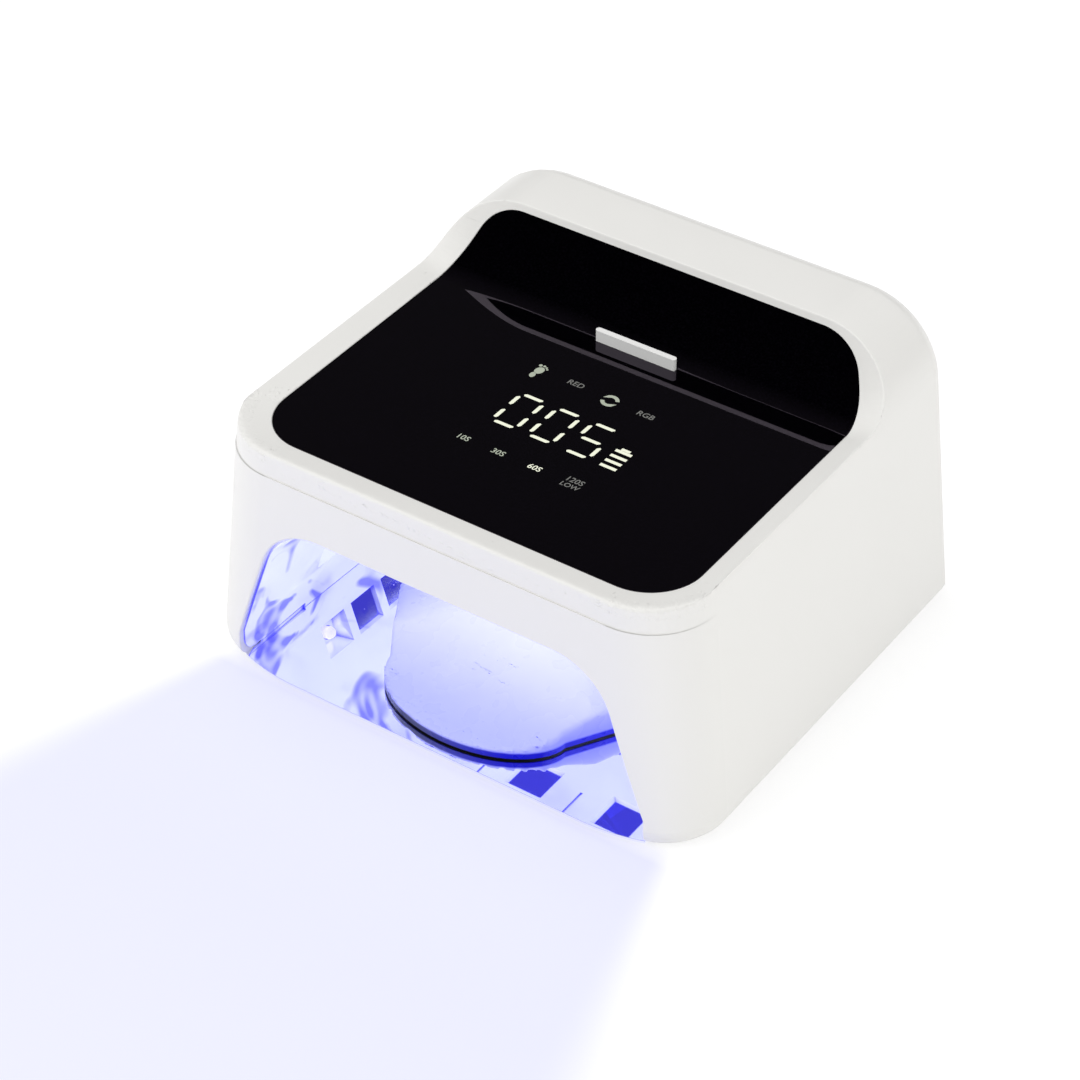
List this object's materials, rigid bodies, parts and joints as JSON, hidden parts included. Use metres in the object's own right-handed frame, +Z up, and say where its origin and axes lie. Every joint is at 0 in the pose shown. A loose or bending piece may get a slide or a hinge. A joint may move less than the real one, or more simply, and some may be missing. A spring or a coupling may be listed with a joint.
{
  "type": "led nail lamp",
  "caption": "Box-shaped nail curing lamp with a wide mirrored hand chamber, a black touch panel that sweeps up to a phone backrest, and a slide-out mirror tray with a hand rest.",
  "frame": {"origin": "centre of the footprint's bounding box, on the surface that the rubber feet stand on", "axes": "+X to the right as seen from the front, +Y from the mouth to the back, +Z up"},
  "size_m": [0.2234, 0.1996, 0.135],
  "materials": {
    "housing_white": "satin-gloss moulded plastic",
    "panel_black": "mirror-smooth gloss black",
    "stop_white": "satin",
    "display_block": "diffuser",
    "board_green": "solder mask",
    "board_white": "white solder mask",
    "spring_steel": "plated",
    "screw_steel": "plated",
    "reflector_chrome": "vacuum-plated, soft mirror",
    "led_lens": "clear domed",
    "sensor_lens": "dark window",
    "holder_black": "moulded",
    "cell_sleeve": "shrink sleeve",
    "inlet_black": "moulded",
    "switch_grey": "moulded",
    "button_white": "satin",
    "plunger_white": "moulded",
    "frame_white": "moulded",
    "magnet_nickel": "nickel-plated",
    "foot_rubber": "matt",
    "tray_mirror": "polished",
    "rest_white": "satin",
    "gasket_black": "matt"
  },
  "bodies": {
    "lamp": {"housing": "housing_white", "touch_panel": "panel_black", "phone_stop": "stop_white", "display_module": "display_block", "touch_board": "board_green", "touch_springs": "spring_steel", "touch_board_screws": "screw_steel", "reflector": "reflector_chrome", "ceiling_led_board": "board_white", "led_board_screws": "screw_steel", "side_led_boards": "board_white", "rear_led_board": "board_white", "led_chips": "led_lens", "hand_sensor": "sensor_lens", "main_board": "board_green", "main_board_screws": "screw_steel", "battery_holder": "holder_black", "battery_cells": "cell_sleeve", "holder_screws": "screw_steel", "io_board": "board_green", "io_board_screws": "screw_steel", "dc_inlet": "inlet_black", "power_switch": "switch_grey", "base_frame": "frame_white", "frame_magnets": "magnet_nickel", "rubber_feet": "foot_rubber", "housing_screws": "screw_steel"},
    "button": {"power_button": "button_white", "switch_plunger": "plunger_white"},
    "tray": {"base_tray": "tray_mirror", "hand_rest": "rest_white", "rest_gasket": "gasket_black", "rest_screws": "screw_steel"}
  },
  "joints": [
    {"name": "tray_slide", "type": "slide", "parent": "lamp", "child": "tray", "axis": [0, -1, 0], "range_m": [0, 0.14]},
    {"name": "power_press", "type": "slide", "parent": "lamp", "child": "button", "axis": [0, -1, 0], "range_m": [0, 0.0012], "stiffness_N_per_m": 800}
  ]
}
